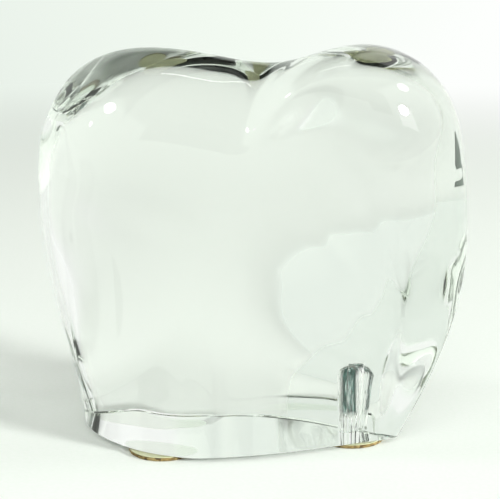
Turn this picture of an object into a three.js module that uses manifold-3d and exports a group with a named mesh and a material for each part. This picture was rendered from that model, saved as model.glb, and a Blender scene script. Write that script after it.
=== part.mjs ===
// Crystal elephant figurine, a solid clear paperweight on three self-adhesive cork discs.
// Millimetres, Z up. The head and trunk point along +X, the animal's left is +Y, and the
// discs stand on z = 0. Heights in this file are taken from the ground base of the crystal.

import * as THREE from 'three';
import { mergeVertices } from 'three/addons/utils/BufferGeometryUtils.js';
import Module from 'manifold-3d';

// Side view, from the rump to the front of the trunk
const LENGTH = 118.2;
const HEAD_TOP = 107;
const BACK_TOP = 105.5;
const NECK_HEIGHT = 102.1;
const TRUNK_FRONT_HEIGHT = 54;
const RUMP_HEIGHT = 69;
const TRUNK_OVERHANG = 16.9;
const RUMP_OVERHANG = 11.5;
const HEAD_TOP_FROM_FRONT = 27.7;
const NECK_FROM_FRONT = 54.7;
const BACK_TOP_FROM_RUMP = 33.5;

// How the outline runs on from those points: forward, up, squareness of the rim
const TRUNK_CURVE = [[-9.9, -39, 3.0], [-3.3, -21, 3.0], [0, 0, 3.2], [-0.9, 19, 4.0]];
const BROW = [-4.7, -15.7, 5.0];
const HEAD_CURVE = [[14.5, -5, 8.0], [0, 0, 9.0], [-12, -2, 10.0]];
const NECK_CURVE = [[4.5, 0.1, 4.0], [-7, 0.5, 3.8]];
const BACK_CURVE = [[12, -1.1, 3.8], [0, 0, 3.8], [-13, -1.5, 3.7]];
const CROUP = [8.9, -8.1, 3.5];
const RUMP_CURVE = [[2, 16.4, 3.2], [0, 0, 3.0], [0.9, -17, 2.8], [4.5, -36, 2.6], [8.9, -54, 2.5]];

// The outline's root under the ground base, which keeps the flanks nearly upright where
// the base cuts them: forward from the heel or the toe, up, squareness
const HEEL_ROOT = [[0, 0, 2.4], [3.5, -19, 2.6], [14, -39, 3.5], [40, -51, 4.0]];
const TOE_ROOT = [[-25.5, -41, 4.0], [-10, -19, 3.5], [0, 0, 3.0]];

const TRUNK_FRONT_X = LENGTH / 2;
const RUMP_X = -LENGTH / 2;
const TOE_X = TRUNK_FRONT_X - TRUNK_OVERHANG;
const HEEL_X = RUMP_X + RUMP_OVERHANG;
const HEAD_TOP_X = TRUNK_FRONT_X - HEAD_TOP_FROM_FRONT;
const NECK_X = TRUNK_FRONT_X - NECK_FROM_FRONT;
const BACK_TOP_X = RUMP_X + BACK_TOP_FROM_RUMP;

// Thickness across the animal, given as half of it, since both sides are alike
const FLANK_HALF = 29.4;
const FOREHEAD_HALF = 25;
const TRUNK_TIP_HALF = 3;
const TAPER_LENGTH = 58;
const TAPER_PAST_TOE = 4.2;
const TAPER_SOFTNESS = 0.12;
const FOOT_LEVEL = 9;
const HEAD_LEVEL = 69;

// How the rim rounds from the side faces into the edge: 2 is an ellipse, higher is fuller.
// Along the back it is leaner, up to where the neck rises into the head
const RIM_ROUNDING = 2;
const BACK_RIM_ROUNDING = 1.5;
const BACK_RIM_BAND = 26;
const BACK_RIM_FADE = 16;
const NECK_RIM_START = 0;

// Towards the middle of a face the upper body has one shape all round, so that the neck's
// fold stays near the rim: squareness and rounding there, and where the change sets in
const MIDDLE_SQUARENESS = 4;
const MIDDLE_ROUNDING = 1.6;
const MIDDLE_SHARE = 0.55;
const RIM_SHARE = 0.9;
const UPPER_BODY_LEVEL = 90;
const UPPER_BODY_FADE = 30;

// Soft relief: the ear and trunk lines in both faces, the flute of the leg in the left one
const EAR_LINE_DEPTH = 0.35;
const TRUNK_LINE_DEPTH = 0.25;
const EAR_LINE_HALF_WIDTH = 2.6;
const EAR_LINE_LOW = 61;
const EAR_LINE_HIGH = 91;
const TRUNK_LINE_TOP = 41;
const LINE_FADE = 12;
const LEG_FLUTE_FROM_HEEL = 30;
const LEG_FLUTE_DEPTH = 0.9;
const LEG_FLUTE_HALF_WIDTH = 1.9;
const LEG_FLUTE_TOP = 30;
const LEG_FLUTE_FADE = 18;

// The notch between trunk and front leg, pressed into the left face only
const NOTCH_BEHIND_TOE = 18.7;
const NOTCH_RADIUS = 3.2;
const NOTCH_HEIGHT = 21;
const NOTCH_DEPTH = 8;

// Cork discs and the adhesive under them
const PAD_DIAMETER = 19;
const PAD_THICKNESS = 1;
const FILM_THICKNESS = 0.2;
const REAR_RIGHT_PAD = { behindToe: 61.3, fromMiddle: -19.8 };
const REAR_LEFT_PAD = { behindToe: 68.8, fromMiddle: 14.5 };
const FRONT_PAD = { behindToe: 13.3, fromMiddle: 0.5 };

// Room that a cutting block has past the glass on every side
const CUT_MARGIN = 20;

// Fineness of the faceted surface
const OUTLINE_STEPS = 96;
const RINGS = 47;
const RING_SPREAD = 2 / 3;
const DISC_SIDES = 48;

// The polar grid of the two faces is centred here, well inside the outline
const MIDDLE_FROM_RUMP = 57.5;
const MIDDLE_HEIGHT = 51;
const MIDDLE = new THREE.Vector2(RUMP_X + MIDDLE_FROM_RUMP, MIDDLE_HEIGHT);

function runOn(x, height, curve) {
  return curve.map(([forward, up, squareness]) => [x + forward, height + up, squareness]);
}

// Landmarks of the side outline: x, height, squareness. They run from the trunk's tip up
// the front, over head and back, down to the heel and on through the root
const LANDMARKS = [
  ...runOn(TRUNK_FRONT_X, TRUNK_FRONT_HEIGHT, TRUNK_CURVE),
  ...runOn(TRUNK_FRONT_X, HEAD_TOP, [BROW]),
  ...runOn(HEAD_TOP_X, HEAD_TOP, HEAD_CURVE),
  ...runOn(NECK_X, NECK_HEIGHT, NECK_CURVE),
  ...runOn(BACK_TOP_X, BACK_TOP, BACK_CURVE),
  ...runOn(RUMP_X, BACK_TOP, [CROUP]),
  ...runOn(RUMP_X, RUMP_HEIGHT, RUMP_CURVE),
  ...runOn(HEEL_X, 0, HEEL_ROOT),
  ...runOn(TOE_X, 0, TOE_ROOT),
];

// Height, and distance behind the toe, of the soft line that parts head and trunk from body
const EAR_LINE = [
  [-20, 9.8], [1, 9.3], [11, 8], [19, 7], [29, 6.6], [37, 6.8], [44, 7.8],
  [54, 11.8], [61, 16.3], [69, 19.3], [84, 23.8], [120, 31.8],
].map(([height, behindToe]) => new THREE.Vector2(height, TOE_X - behindToe));

// 0 below `from`, 1 above `to`, without a kink at either end
function ease(from, to, value) {
  return THREE.MathUtils.smootherstep(value, from, to);
}

function bump(offset, halfWidth) {
  return Math.exp(-((offset / halfWidth) ** 2));
}

function earLineX(height) {
  const next = EAR_LINE.findIndex((point) => point.x >= height);
  const high = EAR_LINE[Math.max(next, 1)];
  const low = EAR_LINE[Math.max(next, 1) - 1];
  return THREE.MathUtils.mapLinear(height, low.x, high.x, low.y, high.y);
}

// Half thickness of the glass before its rim rounds off: full at the flank, a narrow wedge
// at the trunk's tip, and nearly full again at the forehead
function halfThickness(x, height) {
  const start = TOE_X + TAPER_PAST_TOE - TAPER_LENGTH;
  const share = THREE.MathUtils.clamp((x - start) / TAPER_LENGTH, 0, 1.3);
  const along = Math.hypot(share, TAPER_SOFTNESS) - TAPER_SOFTNESS;
  const foot = FLANK_HALF - (FLANK_HALF - TRUNK_TIP_HALF) * along;
  const head = FLANK_HALF - (FLANK_HALF - FOREHEAD_HALF) * along ** 1.6;
  return THREE.MathUtils.lerp(foot, head, ease(FOOT_LEVEL, HEAD_LEVEL, height));
}

// Depth that the ear and trunk lines take off each face, and the leg flute off the left one
function relief(x, height, onLeft) {
  const ear = EAR_LINE_DEPTH * (1 - ease(EAR_LINE_LOW, EAR_LINE_HIGH, height));
  const trunk = TRUNK_LINE_DEPTH * ease(0, LINE_FADE, height)
    * (1 - ease(TRUNK_LINE_TOP - LINE_FADE, TRUNK_LINE_TOP, height));
  const flute = onLeft
    ? LEG_FLUTE_DEPTH * (1 - ease(LEG_FLUTE_TOP - LEG_FLUTE_FADE, LEG_FLUTE_TOP, height))
    : 0;
  return (ear + trunk) * bump(x - earLineX(height), EAR_LINE_HALF_WIDTH)
    + flute * bump(x - HEEL_X - LEG_FLUTE_FROM_HEEL, LEG_FLUTE_HALF_WIDTH);
}

function rimRounding(x, height) {
  const fromTop = BACK_TOP - BACK_RIM_BAND;
  const onBack = ease(fromTop, fromTop + BACK_RIM_FADE, height)
    * (1 - ease(NECK_RIM_START, HEAD_TOP_X, x));
  return THREE.MathUtils.lerp(RIM_ROUNDING, BACK_RIM_ROUNDING, onBack);
}

// How far the shape of the rim reaches towards the middle of the face: 1 at the rim, and
// all the way in on the lower body
function rimHold(edge, outward) {
  const upper = ease(UPPER_BODY_LEVEL - UPPER_BODY_FADE, UPPER_BODY_LEVEL, edge.y);
  return 1 - upper * (1 - ease(MIDDLE_SHARE, RIM_SHARE, outward));
}

// The elephant before its base is ground flat: rings of points from the middle of the
// right face, out over the rim and in again to the middle of the left face
function roughBody() {
  const curve = new THREE.CatmullRomCurve3(
    LANDMARKS.map(([x, height, squareness]) => new THREE.Vector3(x, height, squareness)),
    true,
    'centripetal',
  );
  const outline = curve.getSpacedPoints(OUTLINE_STEPS).slice(0, OUTLINE_STEPS);
  const middleHalf = halfThickness(MIDDLE.x, MIDDLE.y);
  const points = [MIDDLE.x, -middleHalf, MIDDLE.y];
  for (let ring = 1; ring <= RINGS; ring += 1) {
    const turn = (Math.PI * ring) / (RINGS + 1);
    const outward = Math.sin(turn) ** RING_SPREAD;
    for (const edge of outline) {
      const x = THREE.MathUtils.lerp(MIDDLE.x, edge.x, outward);
      const height = THREE.MathUtils.lerp(MIDDLE.y, edge.y, outward);
      const hold = rimHold(edge, outward);
      const squareness = THREE.MathUtils.lerp(MIDDLE_SQUARENESS, edge.z, hold);
      const rounding = THREE.MathUtils.lerp(MIDDLE_ROUNDING, rimRounding(edge.x, edge.y), hold);
      const across = -Math.sign(Math.cos(turn)) * (1 - outward ** squareness) ** (1 / rounding);
      points.push(x, (halfThickness(x, height) - relief(x, height, across > 0)) * across, height);
    }
  }
  points.push(MIDDLE.x, middleHalf, MIDDLE.y);

  const faces = [];
  const last = points.length / 3 - 1;
  const at = (ring, step) => 1 + (ring - 1) * OUTLINE_STEPS + (step % OUTLINE_STEPS);
  for (let step = 0; step < OUTLINE_STEPS; step += 1) {
    faces.push(0, at(1, step), at(1, step + 1));
    for (let ring = 1; ring < RINGS; ring += 1) {
      faces.push(at(ring, step), at(ring + 1, step), at(ring + 1, step + 1));
      faces.push(at(ring, step), at(ring + 1, step + 1), at(ring, step + 1));
    }
    faces.push(last, at(RINGS, step + 1), at(RINGS, step));
  }
  const geometry = new THREE.BufferGeometry();
  geometry.setAttribute('position', new THREE.Float32BufferAttribute(points, 3));
  geometry.setIndex(faces);
  return geometry;
}

// Everything below the base, as a block that the rough body is ground down by
function belowBase() {
  const depth = CUT_MARGIN - Math.min(...LANDMARKS.map(([, height]) => height));
  const block = new THREE.BoxGeometry(LENGTH + 2 * CUT_MARGIN, 2 * (FLANK_HALF + CUT_MARGIN), depth);
  return block.translate(0, 0, -depth / 2);
}

// Bullet shape of the notch, standing upright in the left face, open below and outwards
function notchBullet() {
  const x = TOE_X - NOTCH_BEHIND_TOE;
  const shoulder = NOTCH_HEIGHT - NOTCH_RADIUS;
  const profile = [new THREE.Vector2(0, -CUT_MARGIN), new THREE.Vector2(NOTCH_RADIUS, -CUT_MARGIN)];
  const domeSteps = 8;
  for (let step = 0; step <= domeSteps; step += 1) {
    const turn = (Math.PI / 2) * (step / domeSteps);
    const radius = step === domeSteps ? 0 : NOTCH_RADIUS * Math.cos(turn);
    profile.push(new THREE.Vector2(radius, shoulder + NOTCH_RADIUS * Math.sin(turn)));
  }
  const inner = halfThickness(x, 0) - NOTCH_DEPTH + NOTCH_RADIUS;
  const outer = FLANK_HALF + CUT_MARGIN;
  const middle = (inner + outer) / 2;
  const bullet = new THREE.LatheGeometry(profile, 24).rotateX(Math.PI / 2);
  bullet.translate(x, inner, 0);
  const slot = new THREE.BoxGeometry(2 * NOTCH_RADIUS, outer - inner, shoulder + CUT_MARGIN);
  slot.translate(x, middle, (shoulder - CUT_MARGIN) / 2);
  const arch = new THREE.CylinderGeometry(NOTCH_RADIUS, NOTCH_RADIUS, outer - inner, 32);
  arch.translate(x, middle, shoulder);
  return [bullet, slot, arch];
}

const wasm = await Module();
wasm.setup();

function toSolid(geometry) {
  const bare = geometry.clone();
  bare.deleteAttribute('normal');
  bare.deleteAttribute('uv');
  const welded = mergeVertices(bare, 1e-4);
  return new wasm.Manifold(new wasm.Mesh({
    numProp: 3,
    vertProperties: new Float32Array(welded.attributes.position.array),
    triVerts: new Uint32Array(welded.index.array),
  }));
}

function toGeometry(solid) {
  const mesh = solid.getMesh();
  const geometry = new THREE.BufferGeometry();
  geometry.setAttribute('position', new THREE.BufferAttribute(mesh.vertProperties, 3));
  geometry.setIndex(new THREE.BufferAttribute(mesh.triVerts, 1));
  geometry.computeVertexNormals();
  return geometry;
}

function crystalBody() {
  const ground = toSolid(roughBody()).subtract(toSolid(belowBase()));
  const [bullet, slot, arch] = notchBullet().map(toSolid);
  return toGeometry(ground.subtract(bullet.add(slot).add(arch)));
}

const crystal = new THREE.MeshStandardMaterial({
  color: 0xe4ece6, roughness: 0.03, metalness: 0, transparent: true, opacity: 0.35,
});
const cork = new THREE.MeshStandardMaterial({ color: 0xb98a5a, roughness: 0.95, metalness: 0 });
const adhesive = new THREE.MeshStandardMaterial({ color: 0xe9e7dc, roughness: 0.6, metalness: 0 });

function disc(name, material, thickness, bottom, place) {
  const radius = PAD_DIAMETER / 2;
  const geometry = new THREE.CylinderGeometry(radius, radius, thickness, DISC_SIDES);
  geometry.rotateX(Math.PI / 2);
  const mesh = new THREE.Mesh(geometry, material);
  mesh.name = name;
  mesh.position.set(TOE_X - place.behindToe, place.fromMiddle, bottom + thickness / 2);
  return mesh;
}

const elephant = new THREE.Group();

const body = new THREE.Mesh(crystalBody(), crystal);
body.name = 'crystal_body';
body.position.z = PAD_THICKNESS + FILM_THICKNESS;
elephant.add(body);

for (const [side, place] of [
  ['rear_right', REAR_RIGHT_PAD],
  ['rear_left', REAR_LEFT_PAD],
  ['front', FRONT_PAD],
]) {
  elephant.add(disc(`cork_pad_${side}`, cork, PAD_THICKNESS, 0, place));
  elephant.add(disc(`adhesive_film_${side}`, adhesive, FILM_THICKNESS, PAD_THICKNESS, place));
}

export default elephant;
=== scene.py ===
# Crystal elephant figurine on three self-adhesive cork discs, dressed for the studio.
# The frame is that of the CAD part: the trunk points along +X, the animal's left is +Y.
# Sizes are in millimetres and turned to metres where they are used, but those of the lamps,
# cards, floor and camera's clipping are in metres from the start.

import math

import bpy
import numpy as np
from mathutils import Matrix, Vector, noise


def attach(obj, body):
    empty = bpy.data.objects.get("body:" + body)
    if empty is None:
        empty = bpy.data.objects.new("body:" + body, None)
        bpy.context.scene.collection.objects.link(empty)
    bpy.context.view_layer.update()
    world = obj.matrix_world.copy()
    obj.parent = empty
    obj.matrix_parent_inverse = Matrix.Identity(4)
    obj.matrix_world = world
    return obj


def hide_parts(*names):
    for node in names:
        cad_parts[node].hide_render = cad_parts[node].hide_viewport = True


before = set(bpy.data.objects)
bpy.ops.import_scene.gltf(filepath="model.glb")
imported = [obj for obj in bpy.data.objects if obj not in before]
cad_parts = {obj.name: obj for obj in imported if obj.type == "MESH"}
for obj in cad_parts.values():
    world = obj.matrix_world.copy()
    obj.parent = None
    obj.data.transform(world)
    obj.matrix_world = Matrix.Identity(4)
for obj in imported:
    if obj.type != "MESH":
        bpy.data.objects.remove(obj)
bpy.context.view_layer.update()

MM = 0.001

# Camera: a long lens a third of a metre away, a little ahead of the animal's right side
CAMERA_AT = (74.4, -320.6, 125.0)
CAMERA_TURN = 13.0
CAMERA_PITCH = 12.5
CAMERA_LENS = 88.4

# Lamps are placed round this point and turned to it
AIM = Vector((0, 0, 0.055))
# Lamps: name, azimuth, elevation, distance, width, height or 0 for a round one, watts, and
# whether a mirroring surface shows it. Azimuth 0 is behind the figurine, 90 ahead of its trunk
LAMPS = [
    ("lamp_right_high", 80, 43, 2.4, 0.5, 0, 6.0, True),
    ("lamp_right_low", 107, 17, 2.4, 0.5, 0, 60.0, True),
    ("softbox_right", 107, 9, 2.5, 0.8, 0.7, 3.5, True),
    ("lamp_left_high", -111, 45, 2.4, 0.35, 0, 5.0, True),
    ("lamp_left_low", -105, 28, 2.4, 0.15, 0, 0.4, True),
    ("strip_overhead", -15, 72, 2.4, 0.7, 0.05, 0.6, True),
    ("softbox_over_camera", 165, 55, 1.0, 0.5, 0.5, 2.2, False),
]
# Dark cards: name, two opposite corners, colour
CARDS = [
    ("card_wall", (-1.3, -2.6, 1.4), (3.5, -2.5, 4.0), "#0b0b0a"),
    ("card_wall_low", (1.3, -2.6, 0.7), (3.5, -2.5, 1.4), "#0b0b0a"),
    ("card_low_left", (-0.225, -0.068, 0.0), (-0.22, -0.057, 0.0065), "#4c584e"),
]

# Light of the walls on what stands between them
WALL_LIGHT = 0.86
# The white walls fade into the dark ceiling between these levels, 0 level and 1 overhead.
# At the sides they do so higher up, and more so on the camera's side
CEILING_FADE = (0.42, 0.58)
SIDE_LIFT = 0.75
CAMERA_SIDE_LIFT = 0.8
# One light panel stands high behind, a little to the right: the direction toward it, and how
# near to that direction its edge lies, as a cosine
PANEL_TOWARD = (0.204, 0.761, 0.616)
PANEL_FADE = (0.955, 0.975)
# The backdrop is lit a little more from the camera's right: that direction, and the cosines
# between which the tone changes
BACKDROP_RIGHT = (0.974, 0.225, 0.0)
BACKDROP_FADE = (-0.25, 0.2)
# The floor lies a hair under the discs, and fades into the backdrop between these distances
FLOOR_WIDTH = 30.0
FLOOR_LEVEL = -0.00002
FLOOR_FADE = (0.35, 1.2)

# Heights of the stack on the floor
CORK_TOP = 1.0
GROUND_BASE = 1.2

# Outline of the glass from the side: x, height above the ground base, squareness of the rim.
# The last seven points lie at the base or under it, where the glass is cut off
OUTLINE = [
    (49.2, 15, 3.0), (55.8, 33, 3.0), (59.1, 54, 3.2), (58.2, 73, 4.0),
    (54.4, 91.3, 5.0), (45.9, 102, 8.0), (31.4, 107, 9.0), (19.4, 105, 10.0),
    (8.9, 102.2, 4.0), (-2.6, 102.6, 3.8), (-13.6, 104.4, 3.8), (-25.6, 105.5, 3.8),
    (-38.6, 104, 3.7), (-50.2, 97.4, 3.5), (-57.1, 85.4, 3.2), (-59.1, 69, 3.0),
    (-58.2, 52, 2.8), (-54.6, 33, 2.6), (-50.2, 15, 2.5), (-47.6, 0, 2.4),
    (-44.1, -19, 2.6), (-33.6, -39, 3.5), (-7.6, -51, 4.0), (17.2, -41, 4.0),
    (32.2, -19, 3.5), (42.2, 0, 3.0),
]
# The middle of the faces, and the scale that keeps the glass inside the CAD solid
MIDDLE = (-1.6, 51.0)
INSIDE_CAD = 0.9985

# Thickness across the animal, as half of it. It tapers from the flank toward the trunk, down to
# the trunk's half at the foot and the forehead's half at the head
FLANK_HALF = 29.4
FOREHEAD_HALF = 25.0
TRUNK_TIP_HALF = 3.0
TAPER_START = -11.6
TAPER_LENGTH = 58.0
TAPER_LIMIT = 1.3
TAPER_SOFTNESS = 0.12
HEAD_TAPER_POWER = 1.6
FOOT_LEVEL = 9.0
HEAD_LEVEL = 69.0

# Roundness of the rim. It is sharper on the back, which sets in between these heights and ends
# between these x
RIM_ROUNDING = 2.0
BACK_RIM_ROUNDING = 1.5
BACK_LEVELS = (79.5, 95.5)
BACK_END = (0, 31.4)
# In the upper body, which sets in between these heights, the middle of a face has a squareness
# and roundness of its own. They give way to the rim's between these shares of the way out to it
MIDDLE_SQUARENESS = 4.0
MIDDLE_ROUNDING = 1.6
MIDDLE_SHARE = 0.55
RIM_SHARE = 0.9
UPPER_BODY = (60, 90)

# Soft lines pressed into both faces: height and x of the line behind head and trunk. The ear
# line fades between two heights, the trunk line sets in between two and fades between two
EAR_LINE = [
    (-20, 32.4), (1, 32.9), (11, 34.2), (19, 35.2), (29, 35.6), (37, 35.4), (44, 34.4),
    (54, 30.4), (61, 25.9), (69, 22.9), (84, 18.4), (120, 10.4),
]
EAR_LINE_DEPTH = 0.35
EAR_LINE_HALF_WIDTH = 2.6
EAR_LINE_FADE = (61, 91)
TRUNK_LINE_DEPTH = 0.25
TRUNK_LINE_START = (0, 12)
TRUNK_LINE_FADE = (29, 41)
# A flute at the hind leg, in the left face only, fades upward in the same way
LEG_FLUTE_X = -17.6
LEG_FLUTE_DEPTH = 0.9
LEG_FLUTE_HALF_WIDTH = 1.9
LEG_FLUTE_FADE = (12, 30)

# The notch between trunk and front leg, in the left face only. Its cutter is a ball drawn out by
# these lengths, from a hair off its middle
NOTCH_X = 23.5
NOTCH_RADIUS = 3.2
NOTCH_HEIGHT = 21.0
NOTCH_DEPTH = 8.0
NOTCH_FLUTES = 13
NOTCH_FLUTE_DEPTH = 0.22
CUTTER_DRAWN_LEFT = 40.0
CUTTER_DRAWN_DOWN = 30.0
CUTTER_HAIR = 0.02

# Places of the marks in the glass: the notch's wall, with its ripples, its matt and its painted
# dark reflections, and the frosted flute. Each pair says where a mark has ended and where it is full:
# distance from the notch's axis, heights above the floor, distance to either side, and distance
# from the middle plane toward the left face
NOTCH_WALL = (NOTCH_RADIUS + 0.6, NOTCH_RADIUS + 0.3)
STREAKS_START = (5.5, 7.5)
STREAKS_TOP = (NOTCH_HEIGHT + GROUND_BASE + 0.4, NOTCH_HEIGHT + GROUND_BASE + 0.1)
STREAKS_X = 23.9
STREAKS_SIDES = (2.4, 1.7)
FROST_TOP = (24.0, 16.0)
FROST_SIDES = (1.9, 1.3)
LEFT_FACE = (15.0, 15.5)

# Roughness of the marks, and how much of the light the painted dark streaks keep back
FROST_ROUGHNESS = 0.25
NOTCH_ROUGHNESS = 0.08
HAIRLINE_ROUGHNESS = 0.12
STREAKS_BLOCK = 0.6
# Real sizes of the patterns in the glass. The hairlines' cells are turned by these angles, and a
# line's edge is a share of its cell. Lines set in where the noise of their patches runs between
# two values
SWELL_SIZE = 20.0
RIPPLE_CELL = (2 / 3, 2 / 3, 20 / 3)
HAIR_CELL = (25.0, 2.5, 100 / 9)
HAIR_TURN = (0.3, 0.9, 0.4)
HAIR_EDGE = 0.012
HAIR_PATCH_SIZE = 100 / 9
HAIR_PATCH_FADE = (0.66, 0.72)

BASE_BEVEL = 0.35

# Fineness of the glass: meridians and parallels of the globe that it starts as, and points along
# its outline. The power moves its rings outward, and within the pole's angle all is the middle
MERIDIANS = 200
PARALLELS = 100
OUTLINE_POINTS = 4000
RING_POWER = 2 / 3
POLE_ANGLE = 0.0001

# Discs: name, x, y, and how far the film stands above the ground base. It wets the glass at
# the rear; under the front of the glass there is still air
DISCS = [
    ("rear_right", -19.1, -19.8, 0.015),
    ("rear_left", -26.6, 14.5, 0.015),
    ("front", 28.9, 0.5, -0.03),
]
CORK_RADIUS = 9.5
CORK_FACE_RING = 0.5
# Corners further out than this share are the cut side. Its edges are eased, and it crumbles
CORK_SIDE_SHARE = 0.97
CORK_EASE_DEPTH = 0.22
CORK_EASE_POWER = 4
CRUMBLE_DEPTH = 0.18
CRUMBLE_SIZE = 10 / 13
CRUMBLE_SHIFT = 7.3
# The top of the film has fine rings, and all of it but a narrow edge rises or sinks
FILM_RADIUS = 9.4
FILM_RINGS = 36
FILM_RING_WIDTH = 0.25
FILM_EDGE = 0.1

# Edges that turn by more degrees than this stay sharp
GLASS_SHARP = 22
DISC_SHARP = 40


def linear(code):
    """An sRGB hex colour such as "#b98a5a" as linear RGBA."""
    shares = [int(code[i:i + 2], 16) / 255 for i in (1, 3, 5)]
    return tuple(s / 12.92 if s <= 0.04045 else ((s + 0.055) / 1.055) ** 2.4 for s in shares) + (1.0,)


def every(size):
    """Scale of a pattern that repeats after this many millimetres."""
    return 1 / (size * MM)


def add_node(tree, kind, settings=None, values=None, links=None):
    """Adds a node, sets its properties and socket values, and links sockets into it."""
    node = tree.nodes.new(kind)
    for name, value in (settings or {}).items():
        setattr(node, name, value)
    for socket, value in (values or {}).items():
        node.inputs[socket].default_value = value
    for socket, source in (links or {}).items():
        tree.links.new(source, node.inputs[socket])
    return node


def new_material(name):
    """A material with no nodes yet, and its node tree."""
    material = bpy.data.materials.new(name)
    material.use_nodes = True
    material.node_tree.nodes.clear()
    return material, material.node_tree


def set_ramp(node, stops):
    """Fills a colour ramp from (place, hex colour) pairs."""
    marks = node.color_ramp.elements
    while len(marks) < len(stops):
        marks.new(1.0)
    for mark, (place, code) in zip(marks, stops):
        mark.position = place
        mark.color = linear(code)


# Materials

def distance_to(tree, place, middle):
    """How far a coordinate is from the middle, which is in millimetres."""
    gap = add_node(tree, "ShaderNodeMath", {"operation": "SUBTRACT"}, {1: middle * MM}, {0: place})
    off = add_node(tree, "ShaderNodeMath", {"operation": "ABSOLUTE"}, links={0: gap.outputs["Value"]})
    return off.outputs["Value"]


def mask(tree, *limits):
    """1 where every limit is kept. A limit is a length in the material, and the millimetres at
    which it has ended and at which it is full."""
    shares = []
    for length, (ended, full) in limits:
        share = add_node(tree, "ShaderNodeMapRange",
                         values={"From Min": ended * MM, "From Max": full * MM},
                         links={"Value": length})
        shares.append(share.outputs["Result"])
    product = shares[0]
    for share in shares[1:]:
        both = add_node(tree, "ShaderNodeMath", {"operation": "MULTIPLY"}, links={0: product, 1: share})
        product = both.outputs["Value"]
    return product


def notch_mask(tree, split):
    """1 on the streaked part of the notch's wall, where dark reflections are painted on."""
    from_axis = add_node(tree, "ShaderNodeMath", {"operation": "SUBTRACT"}, {1: notch_axis() * MM},
                         {0: split.outputs["Y"]})
    depth = add_node(tree, "ShaderNodeMath", {"operation": "MINIMUM"}, {1: 0.0},
                     {0: from_axis.outputs["Value"]})
    flat = add_node(tree, "ShaderNodeCombineXYZ",
                    links={"X": distance_to(tree, split.outputs["X"], NOTCH_X), "Y": depth.outputs["Value"]})
    away = add_node(tree, "ShaderNodeVectorMath", {"operation": "LENGTH"},
                    links={0: flat.outputs["Vector"]})
    return mask(tree, (away.outputs["Value"], NOTCH_WALL),
                (split.outputs["Z"], STREAKS_TOP),
                (split.outputs["Z"], STREAKS_START),
                (distance_to(tree, split.outputs["X"], STREAKS_X), STREAKS_SIDES))


def flute_mask(tree, split):
    """1 in the flute of the left face at the hind leg, which the fire polish left a little matt."""
    return mask(tree, (distance_to(tree, split.outputs["X"], LEG_FLUTE_X), FROST_SIDES),
                (split.outputs["Z"], FROST_TOP),
                (split.outputs["Y"], LEFT_FACE))


def hairlines(tree, place):
    """Roughness of the hairlines that handling leaves: the edges of long thin cells, drawn about
    0.1 mm wide so that they show, and only in some patches."""
    stretch = add_node(tree, "ShaderNodeMapping",
                       values={"Rotation": HAIR_TURN, "Scale": [every(size) for size in HAIR_CELL]},
                       links={"Vector": place})
    hair = add_node(tree, "ShaderNodeTexVoronoi", {"feature": "DISTANCE_TO_EDGE"}, {"Scale": 1.0},
                    {"Vector": stretch.outputs["Vector"]})
    patch = add_node(tree, "ShaderNodeTexNoise", values={"Scale": every(HAIR_PATCH_SIZE), "Detail": 2.0},
                     links={"Vector": place})
    thin = add_node(tree, "ShaderNodeMapRange",
                    values={"From Min": 0.0, "From Max": HAIR_EDGE, "To Min": 1.0, "To Max": 0.0},
                    links={"Value": hair.outputs["Distance"]})
    rare = add_node(tree, "ShaderNodeMapRange",
                    values={"From Min": HAIR_PATCH_FADE[0], "From Max": HAIR_PATCH_FADE[1],
                            "To Min": 0.0, "To Max": HAIRLINE_ROUGHNESS},
                    links={"Value": patch.outputs["Fac"]})
    rough = add_node(tree, "ShaderNodeMath", {"operation": "MULTIPLY"},
                     links={0: thin.outputs["Result"], 1: rare.outputs["Result"]})
    return rough.outputs["Value"]


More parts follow.
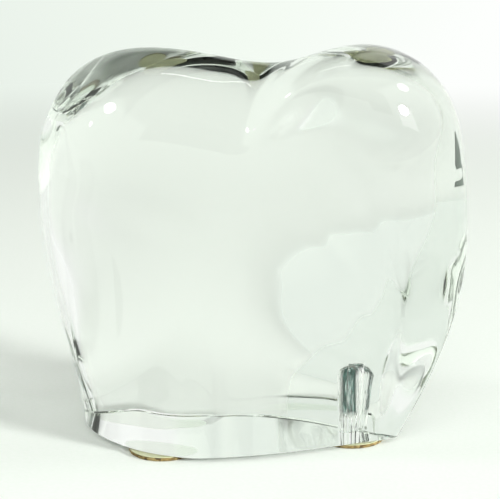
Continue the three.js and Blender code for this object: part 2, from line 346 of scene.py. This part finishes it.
def lead_crystal():
    """Lead crystal, pressed in a mould and fire polished: colourless and very clear, bright
    edges, the faintest green along a thick path, and a surface that is not quite even."""
    material, tree = new_material("lead_crystal_fire_polished")
    place = add_node(tree, "ShaderNodeTexCoord").outputs["Object"]
    split = add_node(tree, "ShaderNodeSeparateXYZ", links={"Vector": place})
    notch = notch_mask(tree, split)
    # Fire polish leaves swells some 20 mm apart and a few microns deep
    swell = add_node(tree, "ShaderNodeTexNoise", values={"Scale": every(SWELL_SIZE), "Detail": 1.0},
                     links={"Vector": place})
    rise = add_node(tree, "ShaderNodeBump", values={"Strength": 0.25, "Distance": 0.02 * MM},
                    links={"Height": swell.outputs["Fac"]})
    # The notch's core left ripples some 0.7 mm apart, drawn out along it
    drawn = add_node(tree, "ShaderNodeMapping", values={"Scale": [every(size) for size in RIPPLE_CELL]},
                     links={"Vector": place})
    ripple = add_node(tree, "ShaderNodeTexNoise", values={"Scale": 1.0, "Detail": 3.0},
                      links={"Vector": drawn.outputs["Vector"]})
    marks = add_node(tree, "ShaderNodeMath", {"operation": "MULTIPLY"},
                     links={0: ripple.outputs["Fac"], 1: notch})
    waves = add_node(tree, "ShaderNodeBump", values={"Strength": 1.0, "Distance": 0.4 * MM},
                     links={"Height": marks.outputs["Value"], "Normal": rise.outputs["Normal"]})
    # Between the ripples its wall is painted with dark green streaks, painted reflections of the
    # dark room that it mirrors, and all of it lets less light through so that the painted colour shows
    streak = add_node(tree, "ShaderNodeValToRGB", links={"Fac": ripple.outputs["Fac"]})
    set_ramp(streak, [(0.48, "#06281f"), (0.58, "#2c6a5f"), (0.68, "#dceeeb")])
    painted_reflection_colour = add_node(tree, "ShaderNodeMix", {"data_type": "RGBA"}, {"A": linear("#fdfefd")},
                     {"Factor": notch, "B": streak.outputs["Color"]})
    clear = add_node(tree, "ShaderNodeMath", {"operation": "MULTIPLY_ADD"}, {1: -STREAKS_BLOCK, 2: 1.0},
                     {0: notch})
    frost = add_node(tree, "ShaderNodeMath", {"operation": "MULTIPLY_ADD"}, {1: FROST_ROUGHNESS},
                     {0: flute_mask(tree, split), 2: hairlines(tree, place)})
    matt = add_node(tree, "ShaderNodeMath", {"operation": "MULTIPLY_ADD"}, {1: NOTCH_ROUGHNESS},
                    {0: notch, 2: frost.outputs["Value"]})
    glass = add_node(tree, "ShaderNodeBsdfPrincipled", values={"IOR": 1.545},
                     links={"Base Color": painted_reflection_colour.outputs["Result"], "Roughness": matt.outputs["Value"],
                            "Normal": waves.outputs["Normal"], "Transmission Weight": clear.outputs["Value"]})
    tint = add_node(tree, "ShaderNodeVolumeAbsorption", values={"Color": linear("#e2ecdf"), "Density": 1.8})
    add_node(tree, "ShaderNodeOutputMaterial",
             links={"Surface": glass.outputs["BSDF"], "Volume": tint.outputs["Volume"]})
    return material


def agglomerated_cork():
    """Agglomerated cork, granules of bark pressed with binder and sliced to 1 mm: matt,
    mottled olive tan with dark bark specks, and a crumbly cut edge."""
    material, tree = new_material("cork_agglomerated_sliced")
    place = add_node(tree, "ShaderNodeTexCoord").outputs["Object"]
    # Granules about 0.8 mm across
    grain = add_node(tree, "ShaderNodeTexVoronoi", values={"Scale": every(0.8), "Randomness": 1.0},
                     links={"Vector": place})
    shade = add_node(tree, "ShaderNodeSeparateColor", links={"Color": grain.outputs["Color"]})
    tone = add_node(tree, "ShaderNodeValToRGB", links={"Fac": shade.outputs["Red"]})
    set_ramp(tone, [(0.0, "#42301a"), (0.16, "#74603a"), (0.5, "#9b8856"), (1.0, "#b8a673")])
    # Pores and specks, a sixth of a millimetre apart
    cells = add_node(tree, "ShaderNodeTexNoise", values={"Scale": every(1 / 6), "Detail": 3.0},
                     links={"Vector": place})
    speck = add_node(tree, "ShaderNodeValToRGB", links={"Fac": cells.outputs["Fac"]})
    set_ramp(speck, [(0.36, "#5a3a1e"), (0.52, "#ffffff")])
    colour = add_node(tree, "ShaderNodeMix", {"data_type": "RGBA", "blend_type": "MULTIPLY"},
                      {"Factor": 0.55}, {"A": tone.outputs["Color"], "B": speck.outputs["Color"]})
    crumbs = add_node(tree, "ShaderNodeMath", {"operation": "SUBTRACT"},
                      links={0: cells.outputs["Fac"], 1: grain.outputs["Distance"]})
    rise = add_node(tree, "ShaderNodeBump", values={"Strength": 0.7, "Distance": 0.12 * MM},
                    links={"Height": crumbs.outputs["Value"]})
    cork = add_node(tree, "ShaderNodeBsdfPrincipled", values={"Roughness": 0.92, "IOR": 1.45},
                    links={"Base Color": colour.outputs["Result"], "Normal": rise.outputs["Normal"]})
    add_node(tree, "ShaderNodeOutputMaterial", links={"Surface": cork.outputs["BSDF"]})
    return material


def transfer_adhesive():
    """Acrylic transfer adhesive, a film pressed flat between cork and glass: pale olive, because
    the cork shows through, and cloudy where air stays in the contact."""
    material, tree = new_material("adhesive_acrylic_transfer")
    place = add_node(tree, "ShaderNodeTexCoord").outputs["Object"]
    # Air trapped in patches 2 to 3 mm across
    air = add_node(tree, "ShaderNodeTexNoise", values={"Scale": every(50 / 21), "Detail": 4.0},
                   links={"Vector": place})
    tone = add_node(tree, "ShaderNodeValToRGB", links={"Fac": air.outputs["Fac"]})
    set_ramp(tone, [(0.35, "#c9cea2"), (0.65, "#d6dab2")])
    rise = add_node(tree, "ShaderNodeBump", values={"Strength": 0.3, "Distance": 0.03 * MM},
                    links={"Height": air.outputs["Fac"]})
    film = add_node(tree, "ShaderNodeBsdfPrincipled", values={"Roughness": 0.5, "IOR": 1.47},
                    links={"Base Color": tone.outputs["Color"], "Normal": rise.outputs["Normal"]})
    # At a low angle the glass above the film mirrors: its index is higher than the adhesive's
    slant = add_node(tree, "ShaderNodeLayerWeight", values={"Blend": 0.5})
    mirror = add_node(tree, "ShaderNodeMapRange", {"interpolation_type": "SMOOTHSTEP"},
                      {"From Min": 0.6, "From Max": 0.8, "To Min": 0.04, "To Max": 0.95},
                      {"Value": slant.outputs["Facing"]})
    sheen = add_node(tree, "ShaderNodeBsdfGlossy", values={"Color": linear("#f6faf4"), "Roughness": 0.02})
    both = add_node(tree, "ShaderNodeMixShader",
                    links={0: mirror.outputs["Result"], 1: film.outputs["BSDF"], 2: sheen.outputs["BSDF"]})
    add_node(tree, "ShaderNodeOutputMaterial", links={"Surface": both.outputs["Shader"]})
    return material


# Shape of the glass

def ease(low, high, value):
    """0 below low, 1 above high, without a kink at either end."""
    share = np.clip((value - low) / (high - low), 0, 1)
    return share ** 3 * (share * (6 * share - 15) + 10)


def closed_spline(landmarks, count):
    """Points at even steps on the smooth closed curve through the landmarks. The curve runs by
    chord length in the first two columns, and its bending has no jump at a landmark."""
    points = np.asarray(landmarks, float)
    total = len(points)
    chord = np.linalg.norm((np.roll(points, -1, 0) - points)[:, :2], axis=1)
    start = np.concatenate([[0], np.cumsum(chord)])
    system = np.zeros((total, total))
    target = np.zeros_like(points)
    for i in range(total):
        before, after, following = chord[i - 1], chord[i], (i + 1) % total
        system[i, i - 1] += after
        system[i, i] += 2 * (before + after)
        system[i, following] += before
        step_in = after * (points[i] - points[i - 1]) / before
        step_out = before * (points[following] - points[i]) / after
        target[i] = 3 * (step_in + step_out)
    slope = np.linalg.solve(system, target)
    run = np.linspace(0, start[-1], count, endpoint=False)
    span = np.clip(np.searchsorted(start, run, side="right") - 1, 0, total - 1)
    length = chord[span][:, None]
    s = (run - start[span])[:, None] / length
    here, there = points[span], points[(span + 1) % total]
    slope_here, slope_there = slope[span] * length, slope[(span + 1) % total] * length
    return ((2 * s ** 3 - 3 * s ** 2 + 1) * here + (s ** 3 - 2 * s ** 2 + s) * slope_here
            + (3 * s ** 2 - 2 * s ** 3) * there + (s ** 3 - s ** 2) * slope_there)


def half_thickness(x, height):
    """Half of the glass's thickness before its rim rounds off."""
    share = np.clip((x - TAPER_START) / TAPER_LENGTH, 0, TAPER_LIMIT)
    along = np.hypot(share, TAPER_SOFTNESS) - TAPER_SOFTNESS
    foot = FLANK_HALF - (FLANK_HALF - TRUNK_TIP_HALF) * along
    head = FLANK_HALF - (FLANK_HALF - FOREHEAD_HALF) * along ** HEAD_TAPER_POWER
    return foot + (head - foot) * ease(FOOT_LEVEL, HEAD_LEVEL, height)


def relief(x, height, left_face):
    """Depth that the ear line and the trunk line take off each face, and the leg flute off the left."""
    line_x = np.interp(height, [level for level, _ in EAR_LINE], [place for _, place in EAR_LINE])
    ear = EAR_LINE_DEPTH * (1 - ease(*EAR_LINE_FADE, height))
    trunk = TRUNK_LINE_DEPTH * ease(*TRUNK_LINE_START, height) * (1 - ease(*TRUNK_LINE_FADE, height))
    flute = LEG_FLUTE_DEPTH * (1 - ease(*LEG_FLUTE_FADE, height)) * left_face
    return ((ear + trunk) * np.exp(-((x - line_x) / EAR_LINE_HALF_WIDTH) ** 2)
            + flute * np.exp(-((x - LEG_FLUTE_X) / LEG_FLUTE_HALF_WIDTH) ** 2))


def rim_rounding(x, height):
    """Roundness of the rim at a place in the outline."""
    on_back = ease(*BACK_LEVELS, height) * (1 - ease(*BACK_END, x))
    return RIM_ROUNDING + (BACK_RIM_ROUNDING - RIM_ROUNDING) * on_back


def notch_axis():
    """How far the upright axis of the notch is from the middle plane, toward the left."""
    return float(half_thickness(NOTCH_X, 0.0)) - NOTCH_DEPTH + NOTCH_RADIUS


def start_piece(name):
    """Names the primitive that was just added, and its mesh."""
    piece = bpy.context.object
    piece.name = name
    piece.data.name = name
    return piece


def select_in_edit(piece, kind, test):
    """In edit mode, selects only the vertices or faces that pass the test."""
    bpy.ops.mesh.select_all(action="DESELECT")
    bpy.ops.mesh.select_mode(type=kind)
    bpy.ops.object.mode_set(mode="OBJECT")
    parts = {"VERT": piece.data.vertices, "FACE": piece.data.polygons}[kind]
    for part in parts:
        part.select = bool(test(part))
    bpy.ops.object.mode_set(mode="EDIT")


def finish_piece(piece, material, sharp):
    """Shades the piece smooth except at its sharp edges, and gives it its one material."""
    bpy.ops.object.shade_smooth_by_angle(angle=math.radians(sharp))
    piece.data.materials.clear()
    piece.data.materials.append(material)


def press_glass():
    """A globe is pressed to the elephant's form: its meridians run out from the middle of one
    face over the rim to the other."""
    bpy.ops.object.select_all(action="DESELECT")
    bpy.ops.mesh.primitive_uv_sphere_add(segments=MERIDIANS, ring_count=PARALLELS, radius=1.0,
                                         calc_uvs=False)
    piece = start_piece("crystal_elephant")
    bpy.ops.object.mode_set(mode="EDIT")
    bpy.ops.mesh.select_all(action="SELECT")
    bpy.ops.mesh.subdivide(number_cuts=1)
    bpy.ops.object.mode_set(mode="OBJECT")
    globe = np.empty(len(piece.data.vertices) * 3)
    piece.data.vertices.foreach_get("co", globe)
    globe = globe.reshape(-1, 3)
    edge = closed_spline(OUTLINE, OUTLINE_POINTS)
    turn = np.arctan2(np.hypot(globe[:, 0], globe[:, 1]), globe[:, 2])
    place = np.arctan2(globe[:, 1], globe[:, 0]) / (2 * math.pi) % 1 * len(edge)
    rim = np.stack([np.interp(place, np.arange(len(edge) + 1), np.append(column, column[0]))
                    for column in edge.T], axis=1)
    outward = np.sin(turn) ** RING_POWER
    outward[(turn < POLE_ANGLE) | (turn > math.pi - POLE_ANGLE)] = 0
    x = MIDDLE[0] + (rim[:, 0] - MIDDLE[0]) * outward
    height = MIDDLE[1] + (rim[:, 1] - MIDDLE[1]) * outward
    near_rim = 1 - ease(*UPPER_BODY, rim[:, 1]) * (1 - ease(MIDDLE_SHARE, RIM_SHARE, outward))
    squareness = MIDDLE_SQUARENESS + (rim[:, 2] - MIDDLE_SQUARENESS) * near_rim
    rounding = MIDDLE_ROUNDING + (rim_rounding(rim[:, 0], rim[:, 1]) - MIDDLE_ROUNDING) * near_rim
    across = np.sign(np.cos(turn)) * np.clip(1 - outward ** squareness, 0, 1) ** (1 / rounding)
    y = (half_thickness(x, height) - relief(x, height, across > 0)) * across
    shaped = np.stack([x * INSIDE_CAD, y * INSIDE_CAD, height * INSIDE_CAD + GROUND_BASE], axis=1) * MM
    piece.data.vertices.foreach_set("co", shaped.ravel())
    piece.data.update()
    return piece


def grind_base(glass):
    """Cuts the base flat and bevels its edge."""
    bpy.ops.object.mode_set(mode="EDIT")
    bpy.ops.mesh.select_all(action="SELECT")
    bpy.ops.mesh.bisect(plane_co=(0, 0, (GROUND_BASE + BASE_BEVEL) * MM), plane_no=(0, 0, 1),
                        clear_inner=True, use_fill=True, threshold=1e-7)
    # Only the fill of the cut has more than eight corners
    select_in_edit(glass, "FACE", lambda face: len(face.vertices) > 8)
    bpy.ops.mesh.inset(thickness=BASE_BEVEL * MM)
    bpy.ops.transform.translate(value=(0, 0, -BASE_BEVEL * MM))
    bpy.ops.mesh.select_all(action="SELECT")
    bpy.ops.mesh.normals_make_consistent(inside=False)
    bpy.ops.object.mode_set(mode="OBJECT")


def notch_cutter():
    """A ball drawn out through the left face and down through the base: a bullet on end, its
    inner wall fluted as the mould left it."""
    shoulder = NOTCH_HEIGHT - NOTCH_RADIUS + GROUND_BASE
    middle = Vector((NOTCH_X, notch_axis(), shoulder)) * MM
    bpy.ops.object.select_all(action="DESELECT")
    bpy.ops.mesh.primitive_uv_sphere_add(segments=96, ring_count=48, radius=NOTCH_RADIUS * MM,
                                         location=middle, calc_uvs=False)
    piece = start_piece("notch_cutter")
    bpy.ops.object.transform_apply(location=True, rotation=True, scale=True)
    for corner in piece.data.vertices:
        out = corner.co - middle
        flute = math.sin(NOTCH_FLUTES * math.atan2(out.y, out.x)) * out.xy.length / (NOTCH_RADIUS * MM)
        corner.co += Vector((out.x, out.y, 0)) * (NOTCH_FLUTE_DEPTH / NOTCH_RADIUS) * flute
    hair = CUTTER_HAIR * MM
    bpy.ops.object.mode_set(mode="EDIT")
    select_in_edit(piece, "VERT", lambda corner: corner.co.y > middle.y + hair)
    bpy.ops.transform.translate(value=(0, CUTTER_DRAWN_LEFT * MM, 0))
    select_in_edit(piece, "VERT", lambda corner: corner.co.z < middle.z - hair)
    bpy.ops.transform.translate(value=(0, 0, -CUTTER_DRAWN_DOWN * MM))
    bpy.ops.object.mode_set(mode="OBJECT")
    return piece


def cut_notch(glass):
    """Takes the notch out of the glass."""
    cutter = notch_cutter()
    bpy.ops.object.select_all(action="DESELECT")
    glass.select_set(True)
    bpy.context.view_layer.objects.active = glass
    cut = glass.modifiers.new("notch", "BOOLEAN")
    cut.operation = "DIFFERENCE"
    cut.solver = "EXACT"
    cut.object = cutter
    bpy.ops.object.modifier_apply(modifier=cut.name)
    bpy.data.objects.remove(cutter)


def crystal_elephant(material):
    """The glass: pressed, its base ground flat, and its notch cut."""
    glass = press_glass()
    grind_base(glass)
    cut_notch(glass)
    finish_piece(glass, material, GLASS_SHARP)
    return glass


# Discs

def start_disc(name, x, y, radius, bottom, top, corners):
    """A plain drum between two heights, with this many corners round it, left in edit mode."""
    bpy.ops.object.select_all(action="DESELECT")
    bpy.ops.mesh.primitive_cylinder_add(vertices=corners, radius=radius * MM, depth=(top - bottom) * MM,
                                        location=(x * MM, y * MM, (top + bottom) / 2 * MM))
    piece = start_piece(name)
    bpy.ops.object.transform_apply(location=True, rotation=True, scale=True)
    bpy.ops.object.mode_set(mode="EDIT")
    return piece


def cork_disc(name, x, y, material, seed):
    """A disc punched from sheet: a drum with its top and bottom edge eased and its cut side
    crumbled along the granules."""
    piece = start_disc(name, x, y, CORK_RADIUS, 0, CORK_TOP, 180)
    select_in_edit(piece, "FACE", lambda face: abs(face.normal.z) > 0.5)
    bpy.ops.mesh.inset(thickness=CORK_FACE_RING * MM)
    select_in_edit(piece, "FACE", lambda face: abs(face.normal.z) < 0.5)
    bpy.ops.mesh.subdivide(number_cuts=5)
    bpy.ops.object.mode_set(mode="OBJECT")
    middle = Vector((x, y, 0)) * MM
    halfway = CORK_TOP / 2 * MM
    for corner in piece.data.vertices:
        out = (corner.co - middle).xy.length / (CORK_RADIUS * MM)
        if out < CORK_SIDE_SHARE:
            continue
        crumble = noise.noise(corner.co * every(CRUMBLE_SIZE) + Vector((seed, 0, 0))) * 0.5 + 0.5
        edge = abs(corner.co.z - halfway) / halfway
        depth = CRUMBLE_DEPTH * crumble + CORK_EASE_DEPTH * edge ** CORK_EASE_POWER
        pull = depth * MM / (CORK_RADIUS * MM)
        corner.co.x -= (corner.co.x - middle.x) * pull
        corner.co.y -= (corner.co.y - middle.y) * pull
    finish_piece(piece, material, DISC_SHARP)
    return piece


def adhesive_disc(name, x, y, rise, material):
    """The film between cork and glass. Where it wets the glass it shows through the base."""
    piece = start_disc(name, x, y, FILM_RADIUS, CORK_TOP, GROUND_BASE, 96)
    select_in_edit(piece, "FACE", lambda face: face.normal.z > 0.5)
    for _ in range(FILM_RINGS):
        bpy.ops.mesh.inset(thickness=FILM_RING_WIDTH * MM)
    bpy.ops.object.mode_set(mode="OBJECT")
    halfway = (GROUND_BASE + CORK_TOP) / 2 * MM
    for corner in piece.data.vertices:
        out = math.hypot(corner.co.x - x * MM, corner.co.y - y * MM) / MM
        if corner.co.z > halfway and out < FILM_RADIUS - FILM_EDGE:
            corner.co.z += rise * MM
    finish_piece(piece, material, DISC_SHARP)
    return piece


# Studio

def place_camera():
    """The camera of the photograph's view."""
    turn, pitch = math.radians(CAMERA_TURN), math.radians(CAMERA_PITCH)
    look = Vector((-math.sin(turn) * math.cos(pitch), math.cos(turn) * math.cos(pitch), -math.sin(pitch)))
    bpy.ops.object.camera_add(location=[c * MM for c in CAMERA_AT])
    camera = bpy.context.object
    camera.name = "studio_camera"
    camera.rotation_mode = "QUATERNION"
    camera.rotation_quaternion = look.to_track_quat("-Z", "Y")
    camera.data.sensor_width = 36.0
    camera.data.lens = CAMERA_LENS
    camera.data.clip_start = 0.01
    camera.data.clip_end = 20.0
    bpy.context.scene.camera = camera


def background_only(tree):
    """1 for what the camera, a reflection or a look through the glass sees, 0 for light that
    falls on a surface."""
    path = add_node(tree, "ShaderNodeLightPath")
    either = add_node(tree, "ShaderNodeMath", {"operation": "MAXIMUM"},
                      links={0: path.outputs["Is Camera Ray"], 1: path.outputs["Is Glossy Ray"]})
    shown = add_node(tree, "ShaderNodeMath", {"operation": "MAXIMUM"},
                     links={0: either.outputs["Value"], 1: path.outputs["Is Transmission Ray"]})
    return shown.outputs["Value"]


def backdrop_tone(tree, direction):
    """Tone of the backdrop, by direction from the figurine."""
    flat = add_node(tree, "ShaderNodeVectorMath", {"operation": "NORMALIZE"}, links={0: direction})
    side = add_node(tree, "ShaderNodeVectorMath", {"operation": "DOT_PRODUCT"}, {1: BACKDROP_RIGHT},
                    {0: flat.outputs["Vector"]})
    place = add_node(tree, "ShaderNodeMapRange",
                     values={"From Min": BACKDROP_FADE[0], "From Max": BACKDROP_FADE[1]},
                     links={"Value": side.outputs["Value"]})
    tone = add_node(tree, "ShaderNodeValToRGB", links={"Fac": place.outputs["Result"]})
    set_ramp(tone, [(0.0, "#eaf2ea"), (0.55, "#f3fbf2"), (1.0, "#fdfffd")])
    return tone.outputs["Color"]


def paper_floor():
    """A wide sheet of matt white paper: the floor, which fades into the backdrop far out."""
    material, tree = new_material("floor_white_paper")
    place = add_node(tree, "ShaderNodeTexCoord").outputs["Object"]
    # The pulp is a little uneven, in clouds about 1 mm across
    fibre = add_node(tree, "ShaderNodeTexNoise", values={"Scale": every(10 / 9), "Detail": 3.0},
                     links={"Vector": place})
    tone = add_node(tree, "ShaderNodeValToRGB", links={"Fac": fibre.outputs["Fac"]})
    set_ramp(tone, [(0.3, "#f4fcf3"), (0.7, "#f8fef7")])
    paper = add_node(tree, "ShaderNodeBsdfDiffuse", links={"Color": tone.outputs["Color"]})
    away = add_node(tree, "ShaderNodeVectorMath", {"operation": "LENGTH"}, links={0: place})
    far = add_node(tree, "ShaderNodeMapRange", {"interpolation_type": "SMOOTHSTEP"},
                   {"From Min": FLOOR_FADE[0], "From Max": FLOOR_FADE[1]}, {"Value": away.outputs["Value"]})
    share = add_node(tree, "ShaderNodeMath", {"operation": "MULTIPLY"},
                     links={0: far.outputs["Result"], 1: background_only(tree)})
    backdrop = add_node(tree, "ShaderNodeEmission", links={"Color": backdrop_tone(tree, place)})
    mix = add_node(tree, "ShaderNodeMixShader",
                   links={0: share.outputs["Value"], 1: paper.outputs["BSDF"],
                          2: backdrop.outputs["Emission"]})
    add_node(tree, "ShaderNodeOutputMaterial", links={"Surface": mix.outputs["Shader"]})
    bpy.ops.mesh.primitive_plane_add(size=FLOOR_WIDTH, location=(0, 0, FLOOR_LEVEL))
    floor = start_piece("paper_floor")
    floor.data.materials.append(material)


def wall_share(tree, direction):
    """1 toward the walls and the light panel, 0 toward the dark ceiling."""
    split = add_node(tree, "ShaderNodeSeparateXYZ", links={"Vector": direction})
    side = add_node(tree, "ShaderNodeMath", {"operation": "POWER"}, {1: 2.0}, {0: split.outputs["X"]})
    front = add_node(tree, "ShaderNodeMath", {"operation": "MULTIPLY_ADD"}, {1: -CAMERA_SIDE_LIFT, 2: 1.0},
                     {0: split.outputs["Y"]})
    lift = add_node(tree, "ShaderNodeMath", {"operation": "MULTIPLY"},
                    links={0: side.outputs["Value"], 1: front.outputs["Value"]})
    level = add_node(tree, "ShaderNodeMath", {"operation": "MULTIPLY_ADD"}, {1: -SIDE_LIFT},
                     {0: lift.outputs["Value"], 2: split.outputs["Z"]})
    walls = add_node(tree, "ShaderNodeMapRange", {"interpolation_type": "SMOOTHSTEP"},
                     {"From Min": CEILING_FADE[0], "From Max": CEILING_FADE[1],
                      "To Min": 1.0, "To Max": 0.0},
                     {"Value": level.outputs["Value"]})
    nearness = add_node(tree, "ShaderNodeVectorMath", {"operation": "DOT_PRODUCT"}, {1: PANEL_TOWARD},
                        {0: direction})
    panel = add_node(tree, "ShaderNodeMapRange", {"interpolation_type": "SMOOTHSTEP"},
                     {"From Min": PANEL_FADE[0], "From Max": PANEL_FADE[1]},
                     {"Value": nearness.outputs["Value"]})
    either = add_node(tree, "ShaderNodeMath", {"operation": "MAXIMUM"},
                      links={0: walls.outputs["Result"], 1: panel.outputs["Result"]})
    return either.outputs["Value"]


def studio_walls():
    """White walls all round under a dark ceiling."""
    world = bpy.data.worlds.new("studio_walls")
    bpy.context.scene.world = world
    world.use_nodes = True
    tree = world.node_tree
    tree.nodes.clear()
    direction = add_node(tree, "ShaderNodeTexCoord").outputs["Generated"]
    share = wall_share(tree, direction)
    strength = add_node(tree, "ShaderNodeMath", {"operation": "MULTIPLY"}, {1: WALL_LIGHT}, {0: share})
    light = add_node(tree, "ShaderNodeBackground", values={"Color": linear("#fafaf7")},
                     links={"Strength": strength.outputs["Value"]})
    seen = add_node(tree, "ShaderNodeBackground",
                    links={"Color": backdrop_tone(tree, direction), "Strength": share})
    mix = add_node(tree, "ShaderNodeMixShader",
                   links={0: background_only(tree), 1: light.outputs["Background"],
                          2: seen.outputs["Background"]})
    add_node(tree, "ShaderNodeOutputWorld", links={"Surface": mix.outputs["Shader"]})


def lamp(name, azimuth, elevation, distance, width, height, watts, mirrored):
    """A round lamp where height is 0, or else a softbox, turned to the figurine. It doesn't show
    through the glass."""
    turn, lift = math.radians(azimuth), math.radians(elevation)
    toward = Vector((math.sin(turn) * math.cos(lift), math.cos(turn) * math.cos(lift), math.sin(lift)))
    place = toward * distance + AIM
    bpy.ops.object.light_add(type="AREA", location=place)
    light = bpy.context.object
    light.name = name
    light.rotation_mode = "QUATERNION"
    light.rotation_quaternion = (AIM - place).to_track_quat("-Z", "Y")
    light.data.shape = "RECTANGLE" if height else "DISK"
    light.data.size = width
    if height:
        light.data.size_y = height
    light.data.energy = watts
    light.visible_transmission = False
    light.visible_glossy = mirrored


def dark_card(name, corner, opposite, tone):
    """A flat dark card between two corners, which gives the glass its dark edges. The camera
    doesn't see it, and it keeps no light off the floor."""
    low = Vector(map(min, corner, opposite))
    high = Vector(map(max, corner, opposite))
    bpy.ops.mesh.primitive_cube_add(size=1.0)
    card = start_piece(name)
    card.scale = high - low
    card.location = (low + high) / 2
    material, tree = new_material("card_velvet")
    velvet = add_node(tree, "ShaderNodeBsdfDiffuse", values={"Color": linear(tone)})
    add_node(tree, "ShaderNodeOutputMaterial", links={"Surface": velvet.outputs["BSDF"]})
    card.data.materials.append(material)
    card.visible_camera = False
    card.visible_diffuse = False
    card.visible_shadow = False


place_camera()
paper_floor()
studio_walls()
for row in LAMPS:
    lamp(*row)
for row in CARDS:
    dark_card(*row)

crystal = lead_crystal()
cork = agglomerated_cork()
adhesive = transfer_adhesive()

glass = crystal_elephant(crystal)
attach(glass, "root")
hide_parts("crystal_body")
for number, (side, x, y, rise) in enumerate(DISCS):
    disc = cork_disc(f"cork_disc_{side}", x, y, cork, number * CRUMBLE_SHIFT)
    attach(disc, "root")
    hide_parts(f"cork_pad_{side}")
    film = adhesive_disc(f"adhesive_disc_{side}", x, y, rise, adhesive)
    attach(film, "root")
    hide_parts(f"adhesive_film_{side}")

scene = bpy.context.scene
scene.view_settings.view_transform = "Standard"
# Light crosses the glass many times before it leaves
scene.cycles.max_bounces = 32
scene.cycles.transmission_bounces = 32
scene.cycles.glossy_bounces = 16
